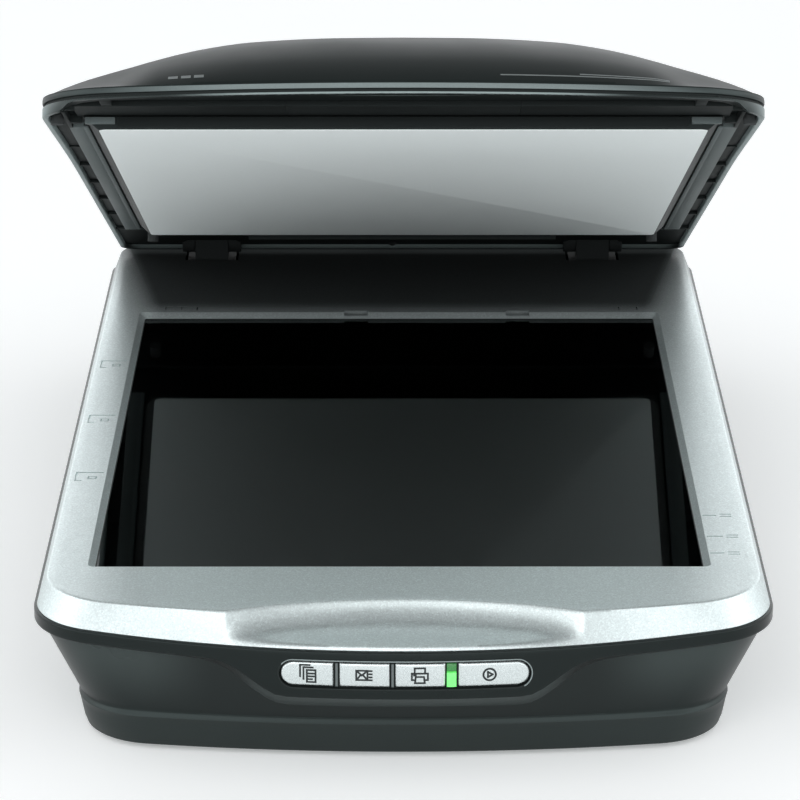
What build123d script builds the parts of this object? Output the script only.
"""Flatbed document scanner with a film lamp in its lid, which stands partly open.

Millimetres. X to the right, Y to the back, Z up, ground at Z = 0. Lid pieces are
drawn shut and turned about the hinge axis when they are saved.
"""
from build123d import *
from math import cos, sin, radians, sqrt, pi, tan, atan2
import os

os.makedirs("parts", exist_ok=True)

RIGHT, BACK, FORWARD, UP = (1, 0, 0), (0, 1, 0), (0, -1, 0), (0, 0, 1)
CUT = Mode.SUBTRACT

# ---------------------------------------------------------------- shared dimensions
Z_TOP = 60.0        # top plane of the bezel
Z_SEAM = 49.0       # joint between bezel and lower case
Z_LIP = 45.3        # underside of the lip below the bezel
Z_SKIRT = 15.0      # top of the straight skirt
Z_BOTTOM = 2.0      # underside of the lower case, feet stand below it
Z_ROOT = Z_BOTTOM + 2.0   # features on the floor start here, inside its thickness
WALL = 2.5

WINDOW_X = -1.5     # the document window sits a little left of centre
WINDOW_W = 224.0    # width at the glass
WINDOW_FRONT, WINDOW_REAR = -182.8, 122.5
WINDOW_Y = (WINDOW_FRONT + WINDOW_REAR) / 2
WINDOW_L = WINDOW_REAR - WINDOW_FRONT
BEVEL = 2.75        # run of the window's bevel
Z_GLASS = 57.5      # top of the glass
Z_GLASS_BASE = Z_GLASS - 3.0

LID_OPEN = 23.5     # degrees
HINGE_Y, HINGE_Z = 213.5, Z_TOP + 8.0
HINGE_XS = (-88.0, 88.0)

SCREWS = ((-104.0, -203.0), (104.0, -203.0), (-111.5, 188.0), (111.5, 188.0))

# Plan outlines: half width, front y, front arc radius, front corner radius,
# rear y, rear corner radius
BEZEL_TOP = (130.6, -233.0, 480.0, 32.0, 231.5, 14.0)
BEZEL_BASE = (134.3, -241.3, 330.0, 30.0, 241.3, 16.0)
LIP = (135.5, -242.5, 330.0, 31.0, 242.5, 17.0)
BODY_BASE = (118.8, -224.6, 600.0, 27.0, 236.0, 17.0)
SKIRT_TOP = (120.0, -226.0, 600.0, 28.0, 237.0, 17.0)
SKIRT_BASE = (117.8, -223.3, 600.0, 28.0, 235.0, 17.0)
LID = (130.2, -234.0, 480.0, 34.0, 220.2, 10.0)


# ---------------------------------------------------------------- helpers
def outline(z, shape, inset=0.0):
    """Plan outline: straight sides and rear, arced front, rounded corners."""
    half_width, front, front_radius, front_corner, rear, rear_corner = shape
    with BuildSketch(Plane.XY.offset(z)) as plan:
        with Locations((0, (front + rear) / 2)):
            Rectangle(2 * (half_width - inset), rear - front - 2 * inset)
        with Locations((0, front + front_radius)):
            Circle(front_radius - inset, mode=Mode.INTERSECT)
        fillet(plan.vertices().sort_by(Axis.Y)[:2], max(front_corner - inset, 2.0))
        fillet(plan.vertices().sort_by(Axis.Y)[-2:], max(rear_corner - inset, 2.0))
    return plan.sketch


def band(z0, shape0, z1, shape1, inset=0.0):
    """Ruled solid between two plan outlines."""
    with BuildPart() as solid:
        loft([outline(z0, shape0, inset).face(), outline(z1, shape1, inset).face()], ruled=True)
    return solid.part


def prism(shape, z0, z1, inset=0.0):
    """Upright solid on a plan outline."""
    with BuildPart() as solid:
        with BuildSketch(Plane.XY.offset(z0)):
            add(outline(0, shape, inset))
        extrude(amount=z1 - z0)
    return solid.part


def block(x0, x1, y0, y1, z0, z1, mode=Mode.ADD):
    """Axis-aligned block from its limits; the two x limits may come in either order."""
    with Locations(((x0 + x1) / 2, (y0 + y1) / 2, (z0 + z1) / 2)):
        Box(abs(x1 - x0), y1 - y0, z1 - z0, mode=mode)


def column(x, y, half_x, half_y, z0, z1, mode=Mode.ADD):
    """Block centred on x, y."""
    block(x - half_x, x + half_x, y - half_y, y + half_y, z0, z1, mode)


def rod(start, axis, length, radius, bore=0.0, mode=Mode.ADD):
    """Round bar from start along axis, or a tube if it has a bore radius."""
    with Locations(Plane(origin=start, z_dir=axis)):
        Cylinder(radius, length, align=(Align.CENTER, Align.CENTER, Align.MIN), mode=mode)
        if bore:
            Cylinder(bore, length, align=(Align.CENTER, Align.CENTER, Align.MIN), mode=CUT)


def discs(x, y, bore, stack):
    """Bored discs on one upright axis, from (z, thickness, radius) rows."""
    for z, thickness, radius in stack:
        rod((x, y, z), UP, thickness, radius, bore)


def belt(x, y_front, y_rear, pulley_radius, thickness, z, width):
    """Flat belt round two upright pulleys, with 0.05 clearance on them."""
    span = y_rear - y_front
    with BuildPart() as loop:
        with BuildSketch(Plane.XY.offset(z)):
            with Locations((x, (y_front + y_rear) / 2)):
                SlotCenterToCenter(span, 2 * (pulley_radius + thickness), rotation=90)
                SlotCenterToCenter(span, 2 * (pulley_radius + 0.05), rotation=90, mode=CUT)
        extrude(amount=width)
    return loop.part


def front_shape(sketch, y0, y1):
    """Extrude a closed X-Z sketch from y0 to y1."""
    with BuildPart() as solid:
        with BuildSketch(Plane(origin=(0, y0, 0), x_dir=RIGHT, z_dir=FORWARD)):
            add(sketch)
        extrude(amount=-(y1 - y0))
    return solid.part


def save(part, name, lid=False):
    """Write one piece; lid pieces are first turned open."""
    if lid:
        part = part.rotate(Axis((0, HINGE_Y, HINGE_Z), RIGHT), -LID_OPEN)
    part.label = name
    export_step(part, f"parts/{name}.step")


# ---------------------------------------------------------------- control panel shapes
BUTTON_Z, BUTTON_R = 40.3, 4.5
ROW_X = (-43.8, 44.8)      # ends of the button row
LIGHT_X = (15.3, 18.8)
# name, left x, right x, switch x, rounded left end, rounded right end
BUTTONS = (
    ("scan_to_pdf_button", ROW_X[0], -25.0, -34.0, True, False),
    ("email_button", -22.8, -5.0, -14.0, False, False),
    ("copy_button", -2.9, 14.7, 6.0, False, False),
    ("start_button", 19.6, ROW_X[1], 31.5, False, True),
)


def cap_sketch(x0, x1, grow=0.0, round_left=False, round_right=False):
    """Front view of a button cap, grown all round."""
    radius = BUTTON_R + grow
    with BuildSketch() as face:
        with Locations(((x0 + x1) / 2, BUTTON_Z)):
            Rectangle(x1 - x0 + 2 * grow, 2 * radius)
        if round_left:
            fillet(face.vertices().sort_by(Axis.X)[:2], radius - 0.01)
        if round_right:
            fillet(face.vertices().sort_by(Axis.X)[-2:], radius - 0.01)
    return face.sketch


def panel_sketch(grow):
    """Front view of the raised control panel: flat bottom, S-curved ends."""
    end, shoulder = 82 + grow, 44.6 - grow
    foot, base = 44 + grow, 31.0 - grow
    # the S-curve from shoulder to foot, as x, z
    curve = [(end, shoulder), (69 + grow, 43.9 - grow), (54.5 + grow, 37.0 - grow), (foot, base)]
    mirrored = [(-x, z) for x, z in curve[::-1]]
    with BuildSketch() as face:
        with BuildLine():
            Line((-end, Z_SEAM), (end, Z_SEAM))
            Line((end, Z_SEAM), (end, shoulder))
            Spline(*curve, tangents=((-1, -0.02), (-1, -0.05)))
            Line((foot, base), (-foot, base))
            Spline(*mirrored, tangents=((-1, 0.05), (-1, 0.02)))
            Line((-end, shoulder), (-end, Z_SEAM))
        make_face()
    return face.sketch


def panel(grow, inset, z0, z1):
    """The raised middle of the front, which carries the buttons."""
    with BuildPart() as solid:
        add(prism(LIP, z0, z1, inset))
        add(front_shape(panel_sketch(grow), -260, -205), mode=Mode.INTERSECT)
    return solid.part


def lip_plug(inset):
    """Tall solid on the lip outline, to trim things to the curve of the front."""
    return prism(LIP, 20, 60, inset)


def lip_shell(sketch, inset):
    """Front-view sketch made into a shell that follows the curve of the front."""
    with BuildPart() as shell:
        add(front_shape(sketch, -262, -226))
        add(lip_plug(inset), mode=Mode.INTERSECT)
        add(lip_plug(WALL + 1.2), mode=CUT)
    return shell.part


# ---------------------------------------------------------------- drive positions
ROD_Z, ROD_R = 16.0, 4.0
ROD_FRONT, ROD_L = -220.0, 396.0
ROD_MOUNT_YS = (-216.0, 171.0)
GEAR_X, GEAR_Y, IDLER_Y = 25.0, 190.0, -206.0
SHAFT_R = 1.5

# ---------------------------------------------------------------- lower case
INNER = WALL + 0.3   # inset of the hollow

with BuildPart() as button_pocket:
    add(front_shape(cap_sketch(*ROW_X, 0.9, True, True), -260, -225))
    add(lip_plug(1.1), mode=CUT)

with BuildPart() as lower_case:
    add(band(Z_BOTTOM, SKIRT_BASE, Z_SKIRT, SKIRT_TOP))
    add(band(Z_SKIRT, BODY_BASE, Z_LIP, LIP))
    add(prism(LIP, Z_LIP, Z_SEAM))
    add(panel(0.0, 0.0, 28.0, Z_SEAM))
    # hollow
    add(band(Z_BOTTOM + 2.6, SKIRT_BASE, Z_SKIRT + 0.1, SKIRT_TOP, WALL + 1.4), mode=CUT)
    add(band(Z_SKIRT, BODY_BASE, Z_LIP, LIP, INNER), mode=CUT)
    add(prism(LIP, Z_LIP - 0.05, Z_SEAM + 1, INNER), mode=CUT)
    add(panel(-WALL, WALL, 28.0 + WALL, Z_SEAM + 1), mode=CUT)
    # button pocket and the five windows in it
    add(button_pocket.part, mode=CUT)
    for _, x0, x1, _, left, right in BUTTONS:
        add(front_shape(cap_sketch(x0, x1, 0.25, left, right), -260, -233.6), mode=CUT)
    add(front_shape(cap_sketch(*LIGHT_X, 0.1), -260, -233.6), mode=CUT)
    # rear openings, as x0, x1, top z: data port, power inlet, lid plug, transport lock
    for x0, x1, z1 in ((-67.9, -55.1, 32), (-40, -29, 31), (-27.9, -2.1, 32), (41, 61, 28)):
        block(x0, x1, 225, 250, 20, z1, mode=CUT)
    # saddles for the guide rod
    for y in ROD_MOUNT_YS:
        column(0, y, 9, 3.5, Z_ROOT, ROD_Z)
    rod((0, ROD_FRONT - 0.05, ROD_Z), BACK, ROD_L + 0.1, ROD_R + 0.02, mode=CUT)
    # bosses for the gear shaft and idler pin, then for the case screws
    for y, boss_top in ((GEAR_Y, 7.0), (IDLER_Y, 9.0)):
        rod((GEAR_X, y, Z_ROOT), UP, boss_top - Z_ROOT, 3.2)
    for x, y in SCREWS:
        rod((x, y, Z_BOTTOM + 0.5), UP, 40 - Z_BOTTOM - 0.5, 4.2)
        rod((x, y, Z_BOTTOM - 1), UP, 50, 1.75, mode=CUT)
        rod((x, y, Z_BOTTOM - 1), UP, 6.2, 2.9, mode=CUT)
    for y in (GEAR_Y, IDLER_Y):
        rod((GEAR_X, y, 3.0), UP, 20, SHAFT_R, mode=CUT)
    # side rail for the carriage's glide pad
    block(101, 107, -193, 165, Z_ROOT, 20)
    # hinge post sockets
    for x in HINGE_XS:
        block(x - 16, x + 16, HINGE_Y - 12, HINGE_Y + 13, Z_ROOT, 44)
        column(x, HINGE_Y, 11.3, 7.3, Z_BOTTOM + 4, 60, mode=CUT)
    # stand-offs for the main board
    for x, y in ((-90, 186), (-12, 186), (-62, 216), (-12, 216)):
        rod((x, y, Z_ROOT), UP, 10, 2.5)
save(lower_case.part, "lower_case")

# ---------------------------------------------------------------- top bezel
SCOOP_Y, SCOOP_Z = -236.7, 76.3    # axis of the finger scoop
SCOOP_HALF_W = 80
BEZEL_WALL = 2.2


def scoop(grow):
    """Barrel-shaped cutter for the finger scoop at the front."""
    middle, end = 26.0 + grow, 12.96 + grow    # radii
    with BuildPart() as barrel:
        with BuildSketch(Plane(origin=(0, SCOOP_Y, SCOOP_Z), x_dir=RIGHT, z_dir=FORWARD)):
            with BuildLine():
                Line((-SCOOP_HALF_W, 0), (-SCOOP_HALF_W, -end))
                ThreePointArc((-SCOOP_HALF_W, -end), (0, -middle), (SCOOP_HALF_W, -end))
                Line((SCOOP_HALF_W, -end), (SCOOP_HALF_W, 0))
                Line((SCOOP_HALF_W, 0), (-SCOOP_HALF_W, 0))
            make_face()
        revolve(axis=Axis((0, SCOOP_Y, SCOOP_Z), RIGHT))
    return barrel.part


with BuildPart() as bezel_hollow:
    add(band(Z_SEAM - 0.5, BEZEL_BASE, Z_TOP - BEZEL_WALL, BEZEL_TOP, BEZEL_WALL))
    add(scoop(2.0), mode=CUT)

with BuildPart() as window_cut:
    for z, bevel in ((Z_TOP - 2.5, 0), (Z_TOP, BEVEL)):
        with BuildSketch(Plane.XY.offset(z)):
            with Locations((WINDOW_X, WINDOW_Y)):
                Rectangle(WINDOW_W + 2 * bevel, WINDOW_L + 2 * bevel)
    loft()
    with BuildSketch(Plane.XY.offset(Z_TOP)):
        with Locations((WINDOW_X, WINDOW_Y)):
            Rectangle(WINDOW_W + 2 * BEVEL, WINDOW_L + 2 * BEVEL)
    extrude(amount=3)

with BuildPart() as top_bezel:
    add(band(Z_SEAM, BEZEL_BASE, Z_TOP, BEZEL_TOP))
    add(scoop(0.0), mode=CUT)
    add(bezel_hollow.part, mode=CUT)
    add(window_cut.part, mode=CUT)
    # two locating notches for film holders at the back of the window
    for x in (-20.5, 51.0):
        block(x - 5.2, x + 5.2, WINDOW_REAR - 1, WINDOW_REAR + 5.0, Z_TOP - 1.3, Z_TOP + 1, CUT)
    # openings for the hinge posts
    for x in HINGE_XS:
        column(x, HINGE_Y, 12.2, 8.2, Z_TOP - 6, Z_TOP + 1, mode=CUT)
    # screw towers
    for x, y in SCREWS:
        rod((x, y, 40.1), UP, Z_TOP - 1.5 - 40.1, 3.6)
        rod((x, y, 40.0), UP, 14.0, 1.4, mode=CUT)
save(top_bezel.part, "top_bezel")

with BuildPart() as scan_glass:
    column(WINDOW_X, WINDOW_Y, 119.5, WINDOW_L / 2 + 8, Z_GLASS_BASE, Z_GLASS)
    chamfer(scan_glass.edges().filter_by(Axis.Z), 1.0)
save(scan_glass.part, "scan_glass")

with BuildPart() as glass_tape:
    column(WINDOW_X, WINDOW_Y, 119, WINDOW_L / 2 + 7.5, Z_GLASS + 0.02, Z_TOP - 2.22)
    column(WINDOW_X, WINDOW_Y, WINDOW_W / 2, WINDOW_L / 2, Z_GLASS - 1, Z_TOP, mode=CUT)
save(glass_tape.part, "glass_tape")

with BuildPart() as calibration_strip:
    block(WINDOW_X - 110, WINDOW_X + 110, WINDOW_REAR + 0.5, WINDOW_REAR + 7.0,
          Z_GLASS_BASE - 0.5, Z_GLASS_BASE - 0.02)
save(calibration_strip.part, "calibration_strip")

with BuildPart() as rubber_feet:
    for x in (-92, 92):
        for y in (-188, 205):
            with Locations((x, y, Z_BOTTOM / 2)):
                Cylinder(9.0, Z_BOTTOM)
    chamfer(rubber_feet.edges().filter_by(GeomType.CIRCLE).group_by(Axis.Z)[0], 0.5)
save(rubber_feet.part, "rubber_feet")

with BuildPart() as case_screws:
    for x, y in SCREWS:
        rod((x, y, 4.6), UP, 2.58, 2.7)
        rod((x, y, 7.1), UP, 42.0, 1.36)
        # cross slot in the head
        with Locations((x, y, 5.2)):
            Box(3.6, 0.8, 1.3, mode=CUT)
            Box(0.8, 3.6, 1.3, mode=CUT)
save(case_screws.part, "case_screws")

# ---------------------------------------------------------------- buttons and light
for name, x0, x1, switch_x, left, right in BUTTONS:
    with BuildPart() as button:
        add(lip_shell(cap_sketch(x0, x1, 0.0, left, right), 0.15))
        # rim behind the cap that keeps it from falling out of its window
        add(lip_shell(cap_sketch(x0, x1, 0.55, left, right), WALL + 0.15))
        # stem to the switch
        block(switch_x - 1.6, switch_x + 1.6, -239.7, -233.35, BUTTON_Z - 1.6, BUTTON_Z + 1.6)
    save(button.part, name)

with BuildPart() as status_light:
    add(front_shape(cap_sketch(*LIGHT_X), -262, -228.6))
    add(lip_plug(0.1), mode=Mode.INTERSECT)
    block(10, 22, -243, -241.6, BUTTON_Z + 1.3, BUTTON_Z + 2.0, mode=CUT)
save(status_light.part, "status_light")

with BuildPart() as button_board:
    block(-46, 46, -228.4, -226.8, 33.0, 47.5)
    for x in (-43, 43):
        rod((x, -230, 36.0), BACK, 5, 1.4, mode=CUT)
save(button_board.part, "button_board")

with BuildPart() as tact_switches:
    for _, _, _, x, _, _ in BUTTONS:
        block(x - 3, x + 3, -231.6, -228.42, BUTTON_Z - 3, BUTTON_Z + 3)
        rod((x, -231.5, BUTTON_Z), FORWARD, 0.9, 1.5)
save(tact_switches.part, "tact_switches")

# ---------------------------------------------------------------- electronics at the rear
Z_BOARD = 15.67      # just above the top of the main board
Z_PORT = 20.3        # underside of the ports
Z_PORT_FOOT = 20.4   # top of the feet that carry them

with BuildPart() as main_board:
    block(-96, -1, 180, 230.4, 14.05, 15.65)
    # corner cut back round the left hinge socket
    block(-106, -71, 199.5, 236, 13, 17, mode=CUT)
save(main_board.part, "main_board")

# x0, x1, y0, y1, height
COMPONENTS = (
    (-44, -24, 188, 206, 2.0), (-68, -52, 190, 204, 1.6), (-18, -6, 190, 200, 1.4),
    (-14, -4, 206, 212, 7.0), (-92, -78, 190, 198, 3.0), (-61, -41, 180.2, 185.2, 3.0),
)
with BuildPart() as board_components:
    for x0, x1, y0, y1, height in COMPONENTS:
        block(x0, x1, y0, y1, Z_BOARD, Z_BOARD + height)
    for x in (-74, -80, -86):
        rod((x, 183.5, Z_BOARD), UP, 9, 2.2)
save(board_components.part, "board_components")

with BuildPart() as data_port:
    block(-67.5, -55.5, 222, 237.2, Z_PORT, 31.5)
    block(-65.7, -57.3, 226, 238, 22.0, 29.6, mode=CUT)
    block(-63.6, -59.4, 225.9, 236, 24.6, 27.0)
    block(-67.0, -56.0, 222, 226, Z_BOARD, Z_PORT_FOOT)
save(data_port.part, "data_port")

with BuildPart() as power_inlet:
    block(-39.6, -29.4, 222, 237.4, Z_PORT, 30.6)
    rod((-34.5, 226, 25.4), BACK, 12, 3.2, mode=CUT)
    rod((-34.5, 225.9, 25.4), BACK, 9.5, 0.9)
    block(-38, -31, 222, 226, Z_BOARD, Z_PORT_FOOT)
save(power_inlet.part, "power_inlet")

with BuildPart() as lid_socket:
    block(-27.5, -2.5, 222, 237.0, Z_PORT, 31.5)
    block(-25.0, -5.0, 227, 238, 22.3, 29.5, mode=CUT)
    block(-26, -4, 222, 227, Z_BOARD, Z_PORT_FOOT)
save(lid_socket.part, "lid_socket")

# slide in the rear wall, with four finger ribs
with BuildPart() as transport_lock:
    block(41.4, 51.4, 232.0, 239.5, 20.4, 27.6)
    for i in range(4):
        block(43.0 + 2 * i, 43.8 + 2 * i, 239.4, 240.2, 21.2, 26.8)
    block(35.0, 58.0, 231.0, 233.3, 18.4, 29.6)
save(transport_lock.part, "transport_lock")

# flat cable from the board to the carriage, with its rolling loop on the floor
RIBBON_X = (-60.0, -42.0)
RIBBON_T = 0.25
FOLD_Y, FOLD_Z, FOLD_R = -40.0, 6.75, 2.1     # half-round front end of the loop
Z_LOW, Z_HIGH = FOLD_Z - FOLD_R, FOLD_Z + FOLD_R
BOARD_DROP_Y, CARRIAGE_RISE_Y = 172.0, 120.0  # front of the drop, rear of the rise
with BuildPart() as ribbon_cable:
    block(*RIBBON_X, BOARD_DROP_Y, 180.2, 16.9, 17.15)
    block(*RIBBON_X, BOARD_DROP_Y, BOARD_DROP_Y + RIBBON_T, Z_LOW, 17.15)
    block(*RIBBON_X, FOLD_Y, BOARD_DROP_Y + RIBBON_T, Z_LOW, Z_LOW + RIBBON_T)
    with BuildSketch(Plane(origin=(RIBBON_X[0], FOLD_Y, FOLD_Z), x_dir=BACK, z_dir=RIGHT)):
        Circle(FOLD_R)
        Circle(FOLD_R - RIBBON_T, mode=CUT)
        with Locations((1.5, 0)):
            Rectangle(3, 6, mode=CUT)
    extrude(amount=RIBBON_X[1] - RIBBON_X[0])
    block(*RIBBON_X, FOLD_Y, CARRIAGE_RISE_Y, Z_HIGH - RIBBON_T, Z_HIGH)
    block(*RIBBON_X, CARRIAGE_RISE_Y - RIBBON_T, CARRIAGE_RISE_Y, Z_HIGH - RIBBON_T, 24.98)
save(ribbon_cable.part, "ribbon_cable")

# ---------------------------------------------------------------- guide rod and carriage
with BuildPart() as guide_rod:
    rod((0, ROD_FRONT, ROD_Z), BACK, ROD_L, ROD_R)
    chamfer(guide_rod.edges().filter_by(GeomType.CIRCLE), 0.5)
save(guide_rod.part, "guide_rod")

with BuildPart() as rod_clips:
    for y in ROD_MOUNT_YS:
        column(0, y, 9, 3, ROD_Z + 0.02, 22.2)
        rod((0, y - 5, ROD_Z), BACK, 10, ROD_R + 0.02, mode=CUT)
save(rod_clips.part, "rod_clips")

SCAN_Y = 128.0               # scan line of the parked carriage
BUSH_R = 6.0
LENS_X, LENS_Z, LENS_R = -2.0, 33.6, 5.2
TRAY_X = (-103.2, 98.2)      # cross walls reach into the side walls of the tray

with BuildPart() as carriage_frame:
    block(-106, 101, SCAN_Y - 34, SCAN_Y + 34, 25, 51.0)
    block(-103, 98, SCAN_Y - 31, SCAN_Y + 31, 28, 52, mode=CUT)
    # front corners filled, then cut back to clear the screw towers
    for outer, cut_x, fill_x in ((-106.1, -97.5, -94.5), (101.1, 96.5, 93.5)):
        block(outer, fill_x, SCAN_Y - 34, SCAN_Y - 10, 25, 51)
        block(outer, cut_x, SCAN_Y - 35, SCAN_Y - 12.6, 24, 52, mode=CUT)
    # small notches low in the front wall
    for x0, x1 in ((-98.0, -94.6), (93.6, 97.0)):
        block(x0, x1, SCAN_Y - 35, SCAN_Y - 33.0, 24, 26.6, mode=CUT)
    # block that rides on the guide rod
    column(0, SCAN_Y, 13, 27, 9.0, 25.2)
    rod((0, SCAN_Y - 40, ROD_Z), BACK, 80, BUSH_R + 0.02, mode=CUT)
    column(0, SCAN_Y, 8, 18, 8, 21.9, mode=CUT)
    # belt clamp: two jaws with a slot for the left run of the belt
    block(12.9, 20.0, SCAN_Y + 9, SCAN_Y + 27, 11.0, 25.2)
    block(15.92, 17.06, SCAN_Y + 8, SCAN_Y + 28, 10.0, 21.5, mode=CUT)
    # cross walls
    for y in (-15, 5.62):
        block(*TRAY_X, SCAN_Y + y, SCAN_Y + y + 1.5, 28, 38)
    # mirror cheeks: y0, y1, top z, left x, right x
    for y0, y1, z1, left, right in ((12.5, 29.0, 49.0, *TRAY_X), (-29.0, -19.0, 39.0, -97.0, 96.0)):
        block(left, -92.55, SCAN_Y + y0, SCAN_Y + y1, 27.9, z1)
        block(87.55, right, SCAN_Y + y0, SCAN_Y + y1, 27.9, z1)
    # lens saddle
    block(LENS_X - 6.5, LENS_X + 6.5, SCAN_Y - 8, SCAN_Y - 2, 27.9, 33.0)
    rod((LENS_X, SCAN_Y - 12, LENS_Z), BACK, 14, LENS_R + 0.02, mode=CUT)
save(carriage_frame.part, "carriage_frame")

with BuildPart() as carriage_bushes:
    for y in (SCAN_Y - 27, SCAN_Y + 18):
        rod((0, y, ROD_Z), BACK, 9, BUSH_R, ROD_R + 0.05)
save(carriage_bushes.part, "carriage_bushes")

with BuildPart() as glide_pad:
    block(101.02, 106.4, SCAN_Y - 8, SCAN_Y + 8, 20.05, 26.0)
    block(101.02, 104.0, SCAN_Y - 8, SCAN_Y + 8, 25.9, 34.0)
save(glide_pad.part, "glide_pad")

GUIDE_X = (-98, 93)
with BuildPart() as led_bar:
    block(-103, 98, SCAN_Y - 9.8, SCAN_Y - 3.8, 46.0, 52.5)
    block(*GUIDE_X, SCAN_Y - 5.6, SCAN_Y - 3.0, 50.4, 53.0, mode=CUT)
save(led_bar.part, "led_bar")

with BuildPart() as light_guide:
    block(*GUIDE_X, SCAN_Y - 5.6, SCAN_Y - 3.8, 50.4, 52.8)
save(light_guide.part, "light_guide")

# y from the scan line, z, tilt in degrees
MIRRORS = ((16, 34.0, 42), (-24, 34.5, -40), (25, 44.0, 48))
with BuildPart() as fold_mirrors:
    for y, z, tilt in MIRRORS:
        normal = (0, -sin(radians(tilt)), cos(radians(tilt)))
        with BuildSketch(Plane(origin=(-2.5, SCAN_Y + y, z), x_dir=RIGHT, z_dir=normal)):
            Rectangle(180, 7.0)
        extrude(amount=1.2)
save(fold_mirrors.part, "fold_mirrors")

with BuildPart() as imaging_lens:
    rod((LENS_X, SCAN_Y - 9, LENS_Z), BACK, 8, LENS_R)
    rod((LENS_X, SCAN_Y - 10.5, LENS_Z), BACK, 2, 4.0)
save(imaging_lens.part, "imaging_lens")

with BuildPart() as sensor_board:
    block(-40, 36, SCAN_Y + 4.0, SCAN_Y + 5.6, 29.0, 45.0)
    block(-24, 20, SCAN_Y + 1.8, SCAN_Y + 4.1, 31.0, 37.5)
save(sensor_board.part, "sensor_board")

# ---------------------------------------------------------------- carriage drive
PULLEY_R = 8.0
PULLEY = ((13.2, 0.7, 9.4), (13.8, 6.4, PULLEY_R), (20.1, 0.8, 9.4))   # z, thickness, radius
MODULE, GEAR_TEETH, PINION_TEETH = 0.8, 48, 16
# pinion to the right of the gear, 0.08 beyond the pitch distance
MOTOR_X = GEAR_X + MODULE * (GEAR_TEETH + PINION_TEETH) / 2 + 0.08

save(belt(GEAR_X, IDLER_Y, GEAR_Y, PULLEY_R, 1.0, 14.0, 6.0), "drive_belt")


def gear_sketch(teeth, hole, phase=0.0, backlash=0.12):
    """Involute spur gear profile, 20 degree pressure angle."""
    pressure = radians(20)
    pitch_r = MODULE * teeth / 2
    base_r = pitch_r * cos(pressure)
    tip_r = pitch_r + MODULE
    root_r = pitch_r - 1.25 * MODULE
    # half angle of a tooth at the base circle
    half = pi / (2 * teeth) - backlash / (2 * pitch_r) + tan(pressure) - pressure
    start_r = max(base_r, root_r)
    points = []
    for k in range(teeth):
        centre = phase + 2 * pi * k / teeth
        left, right = [], []
        for i in range(5):
            r = start_r + (tip_r - start_r) * i / 4
            roll = sqrt((r / base_r) ** 2 - 1)
            angle = half - (roll - atan2(roll, 1))
            left.append((r * cos(centre - angle), r * sin(centre - angle)))
            right.append((r * cos(centre + angle), r * sin(centre + angle)))
        flanks = left + right[::-1]
        if base_r > root_r + 0.01:
            # radial flanks from the base circle down to the root
            low = (root_r * cos(centre - half), root_r * sin(centre - half))
            high = (root_r * cos(centre + half), root_r * sin(centre + half))
            flanks = [low] + flanks + [high]
        points += flanks
    with BuildSketch() as profile:
        with BuildLine():
            Polyline(*points, close=True)
        make_face()
        Circle(hole, mode=CUT)
    return profile.sketch


with BuildPart() as drive_gear:
    with BuildSketch(Plane(origin=(GEAR_X, GEAR_Y, 8.0))):
        add(gear_sketch(GEAR_TEETH, hole=SHAFT_R + 0.05))
    extrude(amount=3.6)
    discs(GEAR_X, GEAR_Y, SHAFT_R + 0.05, ((11.5, 1.8, 5.0), *PULLEY))
save(drive_gear.part, "drive_gear")

with BuildPart() as drive_shaft:
    rod((GEAR_X, GEAR_Y, 3.05), UP, 19.5, SHAFT_R)
save(drive_shaft.part, "drive_shaft")

with BuildPart() as motor_pinion:
    with BuildSketch(Plane(origin=(MOTOR_X, GEAR_Y, 7.6))):
        add(gear_sketch(PINION_TEETH, hole=1.05, phase=pi + pi / PINION_TEETH))
    extrude(amount=4.4)
save(motor_pinion.part, "motor_pinion")

with BuildPart() as motor_shaft:
    rod((MOTOR_X, GEAR_Y, 7.2), UP, 9.0, 1.0)
save(motor_shaft.part, "motor_shaft")

with BuildPart() as motor_bracket:
    block(MOTOR_X - 12.6, MOTOR_X + 20, 168, 212, 12.5, 13.7)
    rod((MOTOR_X, GEAR_Y, 12), UP, 3, 4.0, mode=CUT)
    rod((GEAR_X, GEAR_Y, 12), UP, 3, 10.6, mode=CUT)
    for y in (GEAR_Y - 18.5, GEAR_Y + 18.5):
        rod((MOTOR_X + 16, y, 4.65), UP, 8.0, 2.6)
save(motor_bracket.part, "motor_bracket")

with BuildPart() as drive_motor:
    rod((MOTOR_X, GEAR_Y, 13.75), UP, 20, 15.8)
    rod((MOTOR_X, GEAR_Y, 13), UP, 3.3, 1.06, mode=CUT)
    chamfer(drive_motor.edges().filter_by(GeomType.CIRCLE).group_by(Axis.Z)[-1], 0.8)
save(drive_motor.part, "drive_motor")

with BuildPart() as idler_pulley:
    discs(GEAR_X, IDLER_Y, SHAFT_R + 0.05, PULLEY)
save(idler_pulley.part, "idler_pulley")

with BuildPart() as idler_pin:
    rod((GEAR_X, IDLER_Y, 3.05), UP, 19.0, SHAFT_R)
save(idler_pin.part, "idler_pin")

# ---------------------------------------------------------------- hinge posts in the base
HINGE_PIN_R = 2.5
KNUCKLE_R = 6.1
KNUCKLE_HALF = 7.5   # half width of the post's knuckle

with BuildPart() as hinge_posts:
    for x in HINGE_XS:
        column(x, HINGE_Y, 11, 7, Z_BOTTOM + 4.3, Z_TOP - 0.5)
        column(x, HINGE_Y, KNUCKLE_HALF, KNUCKLE_R, Z_TOP - 0.6, HINGE_Z)
        rod((x - KNUCKLE_HALF, HINGE_Y, HINGE_Z), RIGHT, 2 * KNUCKLE_HALF, KNUCKLE_R)
        rod((x - 20, HINGE_Y, HINGE_Z), RIGHT, 40, HINGE_PIN_R + 0.03, mode=CUT)
save(hinge_posts.part, "hinge_posts")

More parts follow.
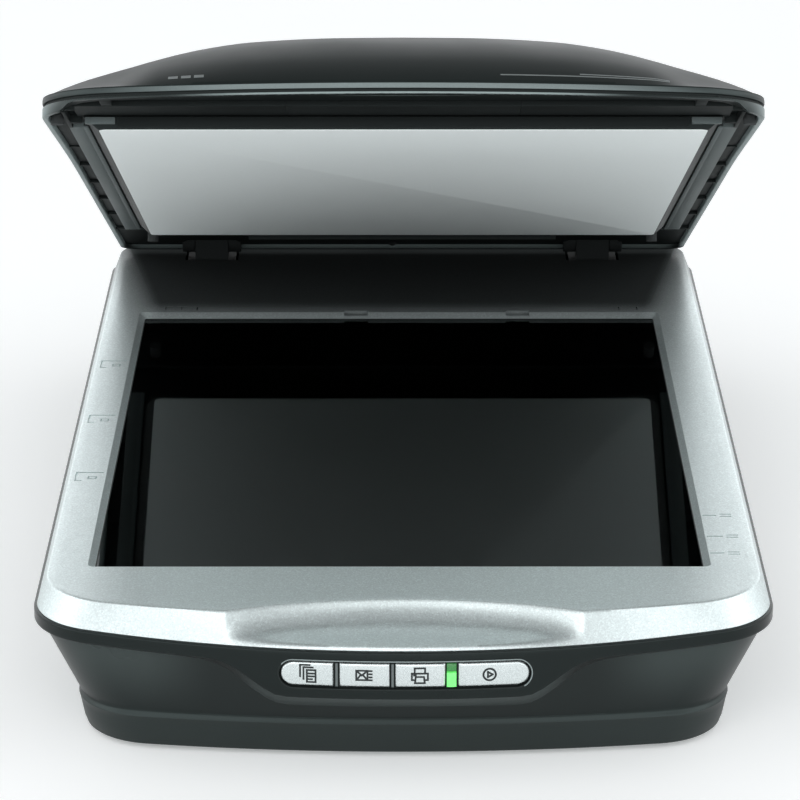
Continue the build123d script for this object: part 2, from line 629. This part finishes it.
with BuildPart() as hinge_pins:
    for x in HINGE_XS:
        rod((x - 13.5, HINGE_Y, HINGE_Z), RIGHT, 27, HINGE_PIN_R)
    chamfer(hinge_pins.edges().filter_by(GeomType.CIRCLE), 0.4)
save(hinge_pins.part, "hinge_pins")

# ---------------------------------------------------------------- lid cover
SEAM_LOW, SEAM_HIGH = 7.4, 8.5   # edges of the seam groove, above the bezel plane
CROWN_EDGE = 9.6                 # where the crown starts, above the bezel plane

# crown along the lid: y, height at the centre above the bezel plane
CROWN = (
    (-236.0, 12.2), (-222.0, 21.5), (-205.0, 29.8), (-192.0, 33.2), (-160.0, 38.0),
    (-90.0, 44.5), (0.0, 48.5), (110.0, 49.5), (190.0, 46.0), (226.0, 38.0),
)
# crown across the lid, edge to centre: fraction of half width, fraction of rise
CROSS = (
    (1.0, 0.0), (0.955, 0.12), (0.905, 0.28), (0.83, 0.45), (0.7, 0.68),
    (0.56, 0.85), (0.4, 0.96), (0.15, 1.0), (0.0, 1.0),
)


def crown_section(y, height, drop, inset):
    """Cross-section of the lid at one station: flat bottom, low edges, crowned top."""
    half = 131.5 - inset
    bottom = SEAM_HIGH - drop
    rise = height - CROWN_EDGE
    left = [(-half * across, CROWN_EDGE + rise * up - inset) for across, up in CROSS]
    points = left[:-1] + [(-x, z) for x, z in left[::-1]]
    with BuildSketch(Plane(origin=(0, y, Z_TOP), x_dir=RIGHT, z_dir=FORWARD)) as section:
        with BuildLine():
            Polyline((-half, bottom), *points, (half, bottom), close=True)
        make_face()
    return section.sketch.face()


def crown(drop=0.0, inset=0.0):
    """Crowned body, lofted from station to station."""
    with BuildPart() as body:
        for front, rear in zip(CROWN[:-1], CROWN[1:]):
            sections = [crown_section(*front, drop, inset), crown_section(*rear, drop, inset)]
            loft(sections, ruled=True)
    return body.part


with BuildPart() as lid_hollow:
    add(crown(drop=3.0, inset=2.4))
    add(prism(LID, Z_TOP, Z_TOP + 70, inset=2.4), mode=Mode.INTERSECT)

with BuildPart() as lid_cover:
    add(crown())
    add(prism(LID, Z_TOP, Z_TOP + 70), mode=Mode.INTERSECT)
    add(lid_hollow.part, mode=CUT)
    # notches at the rear for the lid cable and the hinge knuckles
    block(-8, -1, 215, 230, Z_TOP + 5, Z_TOP + 14, mode=CUT)
    for x in HINGE_XS:
        block(x - 14.2, x + 14.2, 205, 230, Z_TOP + 5, Z_TOP + 17.6, mode=CUT)
save(lid_cover.part, "lid_cover", lid=True)

# ---------------------------------------------------------------- lid frame
RIM_W = 2.2
Z_RIM = Z_TOP + 3.7          # underside of the rim
Z_RAIL = Z_TOP + 1.6         # underside of the rails
Z_RAIL_TOP = Z_TOP + 6.0
Z_PAN = Z_TOP + 7.2          # top of the floor pan
Z_ON_PAN = Z_PAN + 0.02      # underside of what lies on the pan
RAIL_OUT = 122.4             # outer face of the rails, from the middle

MAT_W, MAT_FRONT, MAT_REAR = 221.0, -182.9, 122.4
MAT_Y, MAT_L = (MAT_FRONT + MAT_REAR) / 2, MAT_REAR - MAT_FRONT
Z_MAT = Z_TOP - 1.8          # face of the mat
TRAY_T = 5.4

LAMP_ROD_X, LAMP_ROD_Z, LAMP_ROD_R = 56.0, Z_TOP + 15, 3.0
LAMP_BELT_X = -57.2
LAMP_PULLEY_Y = 146.0        # pulleys stand this far behind and in front of Y = 0
LAMP_PIN_R = 1.2

with BuildPart() as seam_ring:
    add(prism(LID, Z_TOP + SEAM_LOW - 1.6, Z_TOP + SEAM_HIGH, inset=1.0))
    add(prism(LID, Z_TOP + SEAM_LOW - 2.6, Z_TOP + SEAM_HIGH + 1.0, inset=RIM_W + 2.0), mode=CUT)

with BuildPart() as lid_frame:
    # rim all round
    add(prism(LID, Z_RIM, Z_TOP + SEAM_LOW))
    add(prism(LID, Z_RIM - 1, Z_TOP + SEAM_LOW + 1, inset=RIM_W), mode=CUT)
    # inner flange that carries the cover and closes the seam groove
    add(seam_ring.part)
    # floor pan that carries the mat and the transparency unit
    add(prism(LID, Z_TOP + 5.8, Z_PAN, inset=RIM_W - 0.3))
    block(-118.4, 118.4, -204, 130, Z_TOP + 3.75, Z_RAIL_TOP)
    for side in (-1, 1):
        outer = side * RAIL_OUT
        # rail with an inturned toe that holds the mat tray
        block(side * 117.0, outer, -168, 130, Z_RAIL, Z_RAIL_TOP)
        block(side * 115.3, outer, -168, 130, Z_RAIL, Z_TOP + 2.45)
        # open frame in front of the rail, with its hook
        block(side * 121.0, outer, -204, -167, Z_RAIL, Z_RAIL_TOP)
        block(side * 110.0, outer, -205.4, -204.0, Z_TOP + 4.2, Z_RAIL_TOP)
        block(side * 116.8, outer, -180, -177.5, Z_RAIL, Z_RAIL_TOP)
    # stop wall behind the tray and stiffening ribs to the rim
    block(-100, 100, MAT_REAR + 6.6, MAT_REAR + 8.4, Z_RAIL, Z_RAIL_TOP)
    for y in (-196.0, -150.0, 0.0, 150.0):
        for side in (-1, 1):
            block(side * 122.0, side * 128.8, y - 1.2, y + 1.2, Z_TOP + 4.4, Z_TOP + 6.4)
    for side in (-1, 1):
        block(side * 96.0, side * 102.0, -224, -203, Z_TOP + 4.4, Z_TOP + 6.4)
    # window for the transparency lamp, then the notch for the lid cable
    block(-42, 42, -140, 120, Z_TOP - 2, Z_TOP + 12, mode=CUT)
    block(-8, -1, 208, 225, Z_TOP + 2, Z_TOP + 12, mode=CUT)
    # pockets for the hinge knuckles
    for x in HINGE_XS:
        block(x - 17, x + 17, 197, 240, Z_TOP - 2, Z_TOP + 20, mode=CUT)
    # bearing blocks for the transparency rod
    for y in (-150.0, 136.0):
        column(LAMP_ROD_X, y, 6, 4, Z_PAN - 0.1, Z_TOP + 20.0)
    rod((LAMP_ROD_X, -156, LAMP_ROD_Z), BACK, 298, LAMP_ROD_R + 0.02, mode=CUT)
    # bosses for the transparency pulley pins
    for y in (-LAMP_PULLEY_Y, LAMP_PULLEY_Y):
        rod((LAMP_BELT_X, y, Z_PAN - 0.1), UP, 2.0, 3.0)
        rod((LAMP_BELT_X, y, Z_TOP + 4.5), UP, 6.2, LAMP_PIN_R + 0.01, mode=CUT)
save(lid_frame.part, "lid_frame", lid=True)

with BuildPart() as hinge_arms:
    for x in HINGE_XS:
        for x0, x1 in ((x - 13.4, x - 7.8), (x + 7.8, x + 13.4)):
            rod((x0, HINGE_Y, HINGE_Z), RIGHT, x1 - x0, KNUCKLE_R)
            block(x0, x1, 186, HINGE_Y, Z_ON_PAN, HINGE_Z + 6.0)
        block(x - 13.4, x + 13.4, 178, 196.5, Z_ON_PAN, HINGE_Z + 6.0)
        rod((x - 20, HINGE_Y, HINGE_Z), RIGHT, 40, HINGE_PIN_R + 0.01, mode=CUT)
save(hinge_arms.part, "hinge_arms", lid=True)

with BuildPart() as hinge_screws:
    for x in HINGE_XS:
        for offset in (-8, 8):
            rod((x + offset, 187, HINGE_Z + 6.02), UP, 2.0, 3.0)
save(hinge_screws.part, "hinge_screws", lid=True)

with BuildPart() as lid_bumpers:
    for x, y in ((-112.0, 160.0), (112.0, 160.0), (-125.3, -185.0), (125.3, -185.0)):
        with Locations((x, y, Z_TOP + 2.92)):
            Cylinder(2.4, 5.72)
save(lid_bumpers.part, "lid_bumpers", lid=True)

# ---------------------------------------------------------------- transparency unit (tpu)
LAMP_Y = 112.0
LAMP_PULLEY_R = 5.0

with BuildPart() as tpu_diffuser:
    block(-46, 46, -144, 124, Z_ON_PAN, Z_TOP + 9.2)
save(tpu_diffuser.part, "tpu_diffuser", lid=True)

with BuildPart() as tpu_rod:
    rod((LAMP_ROD_X, -155, LAMP_ROD_Z), BACK, 296, LAMP_ROD_R)
save(tpu_rod.part, "tpu_rod", lid=True)

with BuildPart() as tpu_lamp_carriage:
    block(-47, 64, LAMP_Y - 10, LAMP_Y + 10, Z_TOP + 11.0, Z_TOP + 19.5)
    column(0, LAMP_Y, 44, 7, Z_TOP + 10, Z_TOP + 17.5, mode=CUT)
    rod((LAMP_ROD_X, LAMP_Y - 20, LAMP_ROD_Z), BACK, 40, LAMP_ROD_R + 0.06, mode=CUT)
    # belt clamp on the right run of the belt
    block(-56, -46.9, LAMP_Y - 6, LAMP_Y + 6, Z_TOP + 11, Z_TOP + 17)
    block(-53.2, -51.2, LAMP_Y - 7, LAMP_Y + 7, Z_TOP + 10, Z_TOP + 15.8, mode=CUT)
save(tpu_lamp_carriage.part, "tpu_lamp_carriage", lid=True)

with BuildPart() as tpu_lamp:
    column(0, LAMP_Y, 43.5, 4, Z_TOP + 13.0, Z_TOP + 17.4)
save(tpu_lamp.part, "tpu_lamp", lid=True)

tpu_belt = belt(LAMP_BELT_X, -LAMP_PULLEY_Y, LAMP_PULLEY_Y, LAMP_PULLEY_R, 0.8, Z_TOP + 11.4, 4.0)
save(tpu_belt, "tpu_belt", lid=True)

# z, thickness, radius
LAMP_PULLEY = (
    (Z_TOP + 10.6, 0.7, 6.4), (Z_TOP + 11.25, 4.4, LAMP_PULLEY_R), (Z_TOP + 15.6, 0.6, 6.4),
)
for name, y in (("tpu_drive_pulley", LAMP_PULLEY_Y), ("tpu_idler_pulley", -LAMP_PULLEY_Y)):
    with BuildPart() as lamp_pulley:
        discs(LAMP_BELT_X, y, LAMP_PIN_R + 0.05, LAMP_PULLEY)
    save(lamp_pulley.part, name, lid=True)

with BuildPart() as tpu_pulley_pins:
    for y in (LAMP_PULLEY_Y, -LAMP_PULLEY_Y):
        rod((LAMP_BELT_X, y, Z_TOP + 6.2), UP, 10.6, LAMP_PIN_R)
save(tpu_pulley_pins.part, "tpu_pulley_pins", lid=True)

with BuildPart() as tpu_motor:
    rod((LAMP_BELT_X, LAMP_PULLEY_Y, Z_TOP + 17.0), UP, 14.0, 10.5)
save(tpu_motor.part, "tpu_motor", lid=True)

# ---------------------------------------------------------------- document mat
# tray with sloped flanks that carries the white sheet
with BuildPart() as mat_tray:
    for z, widening in ((Z_MAT + 0.35, 0.6), (Z_MAT + TRAY_T, 12.0)):
        with BuildSketch(Plane.XY.offset(z)):
            with Locations((0, MAT_Y)):
                Rectangle(MAT_W + widening, MAT_L)
    loft()
    column(0, MAT_Y, MAT_W / 2 - 1.2, MAT_L / 2 - 1.2, Z_MAT - 1, Z_MAT + 1.6, mode=CUT)
save(mat_tray.part, "mat_tray", lid=True)

with BuildPart() as mat_sheet:
    column(0, MAT_Y, MAT_W / 2 - 1.22, MAT_L / 2 - 1.22, Z_MAT + 0.35, Z_MAT + 1.58)
    column(0, MAT_Y, MAT_W / 2, MAT_L / 2, Z_MAT, Z_MAT + 0.34)
save(mat_sheet.part, "mat_sheet", lid=True)

# ---------------------------------------------------------------- lid cable
# path from the rear of the open lid down to the plug in the rear socket
CABLE_PATH = (
    (-4.5, 212.0, Z_TOP + 3.2), (-5.5, 229.5, Z_TOP + 4.4), (-11.0, 246.5, Z_TOP - 8.0),
    (-15.0, 250.0, 40.0), (-15.0, 244.5, 27.6),
)
with BuildPart() as lid_cable:
    with BuildLine() as path:
        Spline(*CABLE_PATH, tangents=((0, 1, 0.2), (0, -0.75, -0.6)))
    with BuildSketch(Plane(origin=path.line @ 0, z_dir=path.line % 0)):
        Circle(2.0)
    sweep()
    block(-23, -7, 237.1, 246.0, 22.6, 29.2)
save(lid_cable.part, "lid_cable")
